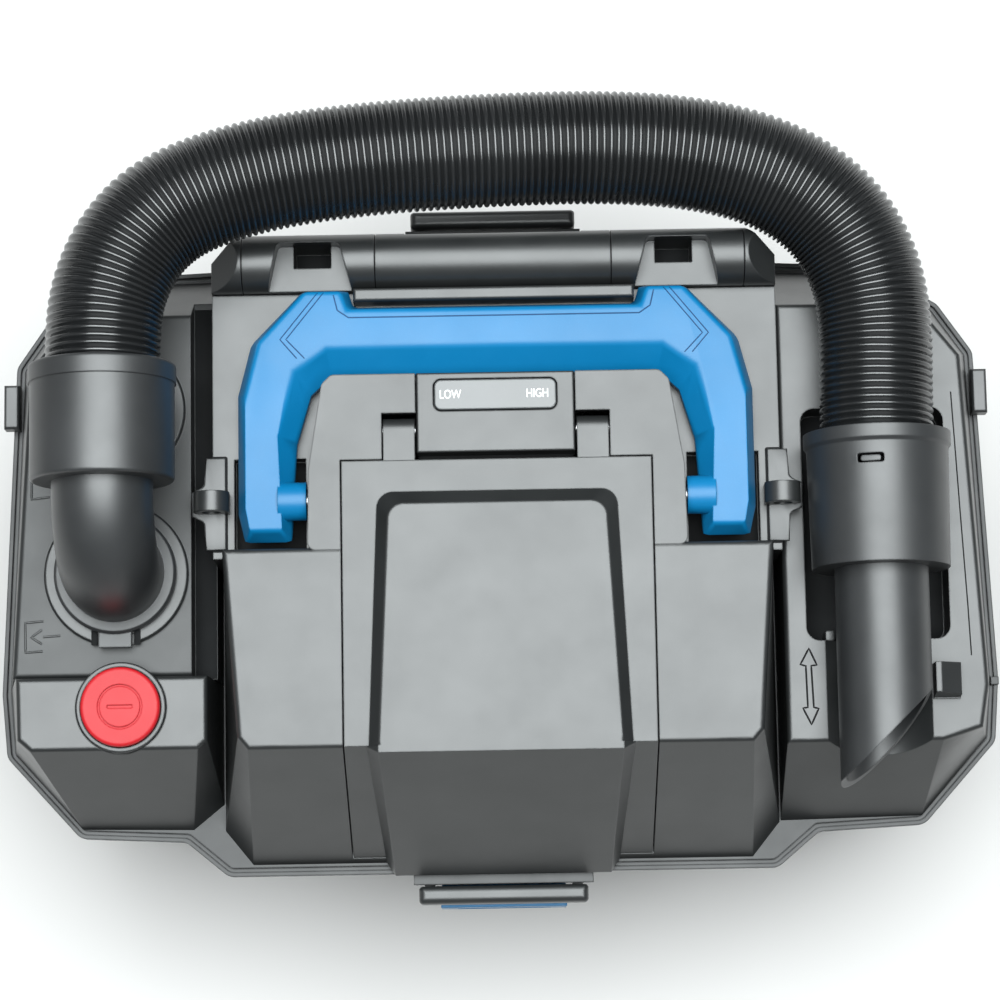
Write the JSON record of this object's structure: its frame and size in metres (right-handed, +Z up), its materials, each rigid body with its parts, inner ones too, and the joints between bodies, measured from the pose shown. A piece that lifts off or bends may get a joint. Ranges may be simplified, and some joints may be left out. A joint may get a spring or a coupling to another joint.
{
  "type": "shop vacuum",
  "caption": "Compact cordless toolbox-shaped shop vacuum: tank, lift-off motor head, folding bail handle, battery lid, and a corrugated hose stored round the top.",
  "frame": {"origin": "on the floor under the middle of the machine, the hose left out", "axes": "+X to the operator's right, -Y to the front where the battery lid slopes down, +Z up"},
  "size_m": [0.38, 0.2969, 0.2556],
  "materials": {
    "cover_grey": "fine moulded texture, satin",
    "tank_grey": "fine moulded texture",
    "handle_blue": "satin",
    "button_red": "satin",
    "plate_silver": "glossy",
    "hose_black": "glossy ridges",
    "cuff_grey": "satin",
    "rubber_black": "matt",
    "steel": "plain",
    "filter_white": "pleated",
    "inner_black": "plain moulding",
    "brass_contacts": "plain",
    "board_green": "lacquered"
  },
  "bodies": {
    "tank": {"tank": "tank_grey", "rubber_feet": "rubber_black", "front_latch_pin": "steel", "rear_latch_pin": "steel"},
    "head": {"rim_gasket": "rubber_black", "head_base": "tank_grey", "base_screws": "steel", "side_hooks": "cover_grey", "centre_cover": "cover_grey", "right_cover": "cover_grey", "left_cover": "cover_grey", "button_housing": "cover_grey", "button_bezel": "cover_grey", "button_spring": "steel", "power_switch": "inner_black", "lid_pins": "steel", "control_panel": "cover_grey", "rocker_pin": "steel", "rear_bar_centre": "cover_grey", "rear_bar_left": "cover_grey", "rear_bar_right": "cover_grey", "bar_end_left": "cover_grey", "bar_end_right": "cover_grey", "grip_rest": "cover_grey", "handle_pins": "steel", "strap_eyelets": "cover_grey", "suction_port": "cover_grey", "blower_port": "cover_grey", "inlet_duct": "inner_black", "nozzle_clip": "cover_grey", "motor_can": "inner_black", "stator": "steel", "bearings": "steel", "fan_housing": "inner_black", "filter_cage": "inner_black", "filter": "filter_white", "filter_plate": "inner_black", "filter_nut": "handle_blue", "battery_bay": "inner_black", "terminal_block": "brass_contacts", "circuit_board": "board_green"},
    "handle": {"handle": "handle_blue"},
    "battery_lid": {"battery_lid": "cover_grey"},
    "power_button": {"power_button": "button_red"},
    "speed_rocker": {"speed_rocker": "plate_silver"},
    "front_latch": {"front_latch": "cover_grey", "front_latch_lever": "handle_blue"},
    "rear_latch": {"rear_latch": "cover_grey", "rear_latch_lever": "handle_blue"},
    "hose_set": {"elbow": "cuff_grey", "left_cuff": "cuff_grey", "hose": "hose_black", "right_cuff": "cuff_grey"},
    "nozzle": {"crevice_nozzle": "cuff_grey"},
    "battery": {"battery": "inner_black"},
    "battery_release": {"battery_release": "button_red"},
    "rotor": {"rotor": "steel", "impeller": "inner_black"},
    "float": {"float_ball": "plate_silver"}
  },
  "joints": [
    {"name": "head_lift", "type": "slide", "parent": "tank", "child": "head", "axis": [0, 0, 1], "range_m": [0, 0.14]},
    {"name": "handle_fold", "type": "hinge", "parent": "head", "child": "handle", "pos_m": [0, 0.012, 0.203], "axis": [1, 0, 0], "range_deg": [0, 90]},
    {"name": "lid_open", "type": "hinge", "parent": "head", "child": "battery_lid", "pos_m": [0, 0.0366, 0.208], "axis": [-1, 0, 0], "range_deg": [0, 95]},
    {"name": "power_press", "type": "slide", "parent": "head", "child": "power_button", "axis": [0, 0, -1], "range_m": [0, 0.003], "stiffness_N_per_m": 900, "springref_m": -0.001, "deforming": ["button_spring"]},
    {"name": "rocker_tilt", "type": "hinge", "parent": "head", "child": "speed_rocker", "pos_m": [0, 0.04865, 0.2104], "axis": [0, 1, 0], "range_deg": [-3, 3], "stiffness_Nm_per_rad": 0.2},
    {"name": "front_latch_open", "type": "hinge", "parent": "tank", "child": "front_latch", "pos_m": [0, -0.1295, 0.11], "axis": [1, 0, 0], "range_deg": [0, 80]},
    {"name": "rear_latch_open", "type": "hinge", "parent": "tank", "child": "rear_latch", "pos_m": [0, 0.1295, 0.11], "axis": [-1, 0, 0], "range_deg": [0, 80]},
    {"name": "hose_lift", "type": "slide", "parent": "head", "child": "hose_set", "axis": [0, 0, 1], "range_m": [0, 0.12]},
    {"name": "nozzle_pull", "type": "slide", "parent": "hose_set", "child": "nozzle", "axis": [0, -1, 0], "range_m": [0, 0.045]},
    {"name": "battery_slide", "type": "slide", "parent": "head", "child": "battery", "axis": [0, -1, 0], "range_m": [0, 0.011]},
    {"name": "release_press", "type": "slide", "parent": "battery", "child": "battery_release", "axis": [0, 1, 0], "range_m": [0, 0.003], "stiffness_N_per_m": 600, "springref_m": -0.001},
    {"name": "rotor_spin", "type": "hinge", "parent": "head", "child": "rotor", "pos_m": [0, 0.052, 0.14], "axis": [0, 0, 1], "continuous": true},
    {"name": "float_rise", "type": "slide", "parent": "head", "child": "float", "axis": [0, 0, 1], "range_m": [0, 0.013]}
  ]
}
